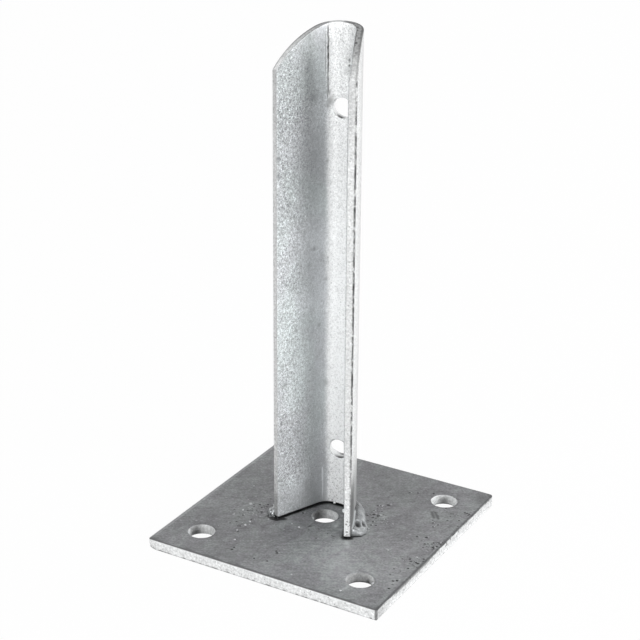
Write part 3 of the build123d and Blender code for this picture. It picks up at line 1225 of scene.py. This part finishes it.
# Pits in the bead: length along it, share of the way down from its top, half length, half width and depth
WELD_PITS = [
    (22.7, 0.34, 1.8, 0.16, 1.1), (20.3, 0.68, 1.8, 0.13, 1.0), (-26.0, 0.45, 0.7, 0.2, 0.8),
    (-28.5, 0.7, 0.7, 0.2, 0.7), (-24.0, 0.8, 0.7, 0.2, 0.5), (8.0, 0.6, 0.7, 0.2, 0.4),
]
# How far the bead reaches out over the plate and how high it climbs, as shares of its leg, by strip length
WELD_REACH = [
    (-31, 1.4), (-27, 1.55), (-23, 1.15), (-15, 1.0), (-6, 0.9), (5, 0.82), (9, 0.92), (14, 1.12),
    (19, 1.38), (24, 1.5), (26, 1.36), (27.2, 1.0), (28, 0.7),
]
WELD_CLIMB = [
    (-31, 1.15), (-27, 1.2), (-22, 1.0), (-15, 0.95), (7, 0.9), (13, 1.15), (18.5, 1.02), (21.5, 0.8),
    (28, 0.72),
]
# How far the rounded ends reach past their corners, as shares of the leg
WELD_ENDS = {-1: 1.1, 1: 0.2}


def weld_section(bm):
    """The bead's section at its left end, in flat strip terms: length, height, offset."""
    left = -WELD_CORNER
    crest = WELD_LEG / 2 + WELD_BULGE
    rise = WELD_BULGE * sqrt(2)
    half_chord = WELD_LEG / sqrt(2)
    radius = (half_chord**2 + rise**2) / (2 * rise)
    back = (crest * sqrt(2) - radius) / sqrt(2)
    middle = (left, back, STRIP_THICKNESS + back)
    toe = bmesh.ops.create_vert(bm, co=(left, 0, STRIP_THICKNESS + WELD_LEG))["vert"][0]
    turn = -2 * asin(half_chord / radius)
    bmesh.ops.spin(bm, geom=[toe], cent=middle, axis=(1, 0, 0), angle=turn, steps=WELD_ARC_STEPS)
    end = max(bm.verts, key=lambda v: v.co.y)
    for number in range(7):  # down the strip, then out along the plate, back to the toe
        end = bmesh.ops.extrude_vert_indiv(bm, verts=[end])["verts"][0]
        if number < 4:
            end.co.y -= WELD_LEG / 4
        else:
            end.co.z += WELD_LEG / 4
    bm.edges.new((end, toe))


def shape_weld(vertex, kept):
    """Gives a point of the plain bead its ripples, lumps and pits, and bends it round the upright."""
    length, height, out = vertex.co.x, vertex.co.y, vertex.co.z - STRIP_THICKNESS
    past = abs(length) - WELD_CORNER
    if past > 0:
        length = copysign(WELD_CORNER + past * WELD_ENDS[copysign(1, length)], length)
    place = (length, height, out)
    shown = step(min(height, max(out, past)), 0.02, 0.5)
    steep = height / max(height + hypot(out, max(past, 0)), 1e-6)
    lumps = 0.12 * wander((length, 0, 0), 4.0, 3) + 0.08 * wander(place, 1.8, 8)
    rough_end = fall(length, -25, -22)
    lumps += rough_end * 0.22 * wander(place, 1.5, 18)
    ripple = 0.022 * sin(2 * pi * (length / 1.3 + 0.9 * (steep - 0.5) ** 2))
    depth = rim = 0.0
    for at, down, half, wide, sink in WELD_PITS:
        gap = hypot((length - at) / half, ((1 - steep) - down) / wide)
        depth = max(depth, sink * exp(-(gap**2) * 1.2))
        rim = max(rim, 0.4 * hump(gap - 1.35, 0.25) * (1 + wander(place, 0.8, 29)))
    right_end = step(length, 25.0, 26.5)
    # Painted shade: the pits and the lower part of the right end. Painted highlights: the bead's top edge,
    # lumps on the right end and rims round the pits.
    hollow = max(min(depth * 1.1, 1.0), 0.2 * right_end * fall(steep, 0.5, 0.8))
    top_edge = 0.95 * step(steep, 0.85, 0.96) * step(length, 14, 16)
    end_lump = right_end * step(steep, 0.35, 0.6) * (0.45 + 1.3 * wander(place, 1.0, 28))
    vertex[kept["hollow"]] = hollow * shown
    vertex[kept["light"]] = max(top_edge, end_lump * shown, rim * shown)
    vertex[kept["steep"]] = steep
    vertex[kept["spatter"]] = rough_end
    grow = 1 + lumps + ripple * shown - depth / max(hypot(height, out), 0.5) * shown
    height = height * grow * along(WELD_CLIMB, length) if height > 0.01 else -WELD_BURIED
    out = out * grow * along(WELD_REACH, length) if out > 0.01 else -WELD_BURIED
    vertex.co = bent_place(length, STRIP_THICKNESS + out, height)


def make_weld(material):
    """Fillet weld along the foot of the outer faces, with ripples, pits and rounded ends."""
    bm = bmesh.new()
    make_layers(bm, ("hollow", "light", "spatter", "steep"))
    weld_section(bm)
    section = bm.edges[:]
    corner = (-WELD_CORNER, 0, STRIP_THICKNESS)
    cap = bmesh.ops.spin(
        bm, geom=bm.verts[:] + section, cent=corner, axis=(0, 1, 0), angle=-pi / 2, steps=WELD_CAP_STEPS
    )["geom_last"]
    last = [g for g in cap if isinstance(g, bmesh.types.BMEdge)]
    bmesh.ops.contextual_create(bm, geom=last)
    run = section
    for _ in range(WELD_STEPS):
        verts, run = grow_edges(bm, run)
        bmesh.ops.translate(bm, vec=(WELD_CORNER / WELD_STEPS, 0, 0), verts=list(verts))
    bmesh.ops.mirror(bm, geom=bm.verts[:] + bm.edges[:] + bm.faces[:], axis="X", merge_dist=1e-3)
    bmesh.ops.remove_doubles(bm, verts=bm.verts, dist=1e-3)
    for vertex in bm.verts:
        shape_weld(vertex, bm.verts.layers.float)
    face_outwards(bm)
    return finish_piece(bm, "foot_weld", "weld_bead", material)


# Studio


def make_floor():
    """White floor that keeps a faint shadow."""
    stone = Finish(bpy.data.materials.new("studio_floor"))
    matte = stone.node("ShaderNodeBsdfDiffuse", None, {"Color": (0.95, 0.95, 0.95, 1.0)})
    white = stone.node("ShaderNodeEmission", None, {"Color": WHITE, "Strength": 1.0})
    mixed = stone.node("ShaderNodeMixShader", None, [stone.seen_white() * FLOOR_WHITE, matte, white])
    stone.node("ShaderNodeOutputMaterial", None, {"Surface": mixed})
    bm = bmesh.new()
    bmesh.ops.create_grid(bm, x_segments=1, y_segments=1, size=6.0)
    floor = to_scene(bm, "floor", stone.owner)


def make_world():
    """White behind the object and in its reflections, and a soft even light on it."""
    world = bpy.data.worlds.new("studio")
    bpy.context.scene.world = world
    sky = Finish(world)
    strength = AMBIENT + sky.seen_white() * (1 - AMBIENT)
    light = sky.node("ShaderNodeBackground", None, {"Color": WHITE, "Strength": strength})
    sky.node("ShaderNodeOutputWorld", None, {"Surface": light})


def direction(azimuth, elevation):
    """From the object out to that side: azimuth 0 is the front, 90 the right."""
    turn, rise = radians(azimuth), radians(elevation)
    return Vector((sin(turn) * cos(rise), -cos(turn) * cos(rise), sin(rise)))


def stand_facing(name, data, aim, out, distance):
    """Stands a lamp or camera out from its aim, turned to face it."""
    holder = bpy.data.objects.new(name, data)
    holder.location = Vector(aim) + out * distance
    holder.rotation_mode = "QUATERNION"
    holder.rotation_quaternion = out.to_track_quat("Z", "Y")
    bpy.context.scene.collection.objects.link(holder)
    return holder


def make_lamps():
    """Square softboxes round the object."""
    for number, (azimuth, elevation, distance, width, power, mirrored) in enumerate(SOFTBOXES):
        lamp = bpy.data.lights.new(f"softbox_{number}", "AREA")
        lamp.shape = "SQUARE"
        lamp.size = width
        lamp.energy = power
        holder = stand_facing(lamp.name, lamp, LAMP_AIM, direction(azimuth, elevation), distance)
        holder.visible_glossy = mirrored


def make_camera():
    """Long lens from the front right, a little above."""
    data = bpy.data.cameras.new("camera")
    data.sensor_width = 36.0
    data.lens = CAMERA_LENS
    data.shift_x, data.shift_y = CAMERA_SHIFT
    camera = stand_facing("camera", data, CAMERA_AIM, direction(*CAMERA_SIDE), CAMERA_DISTANCE)
    bpy.context.scene.camera = camera


make_camera()
make_floor()
make_world()
make_lamps()
make_plate(plate_finish())
make_upright(upright_finish())
make_weld(weld_finish())
bpy.context.scene.view_settings.view_transform = "Standard"
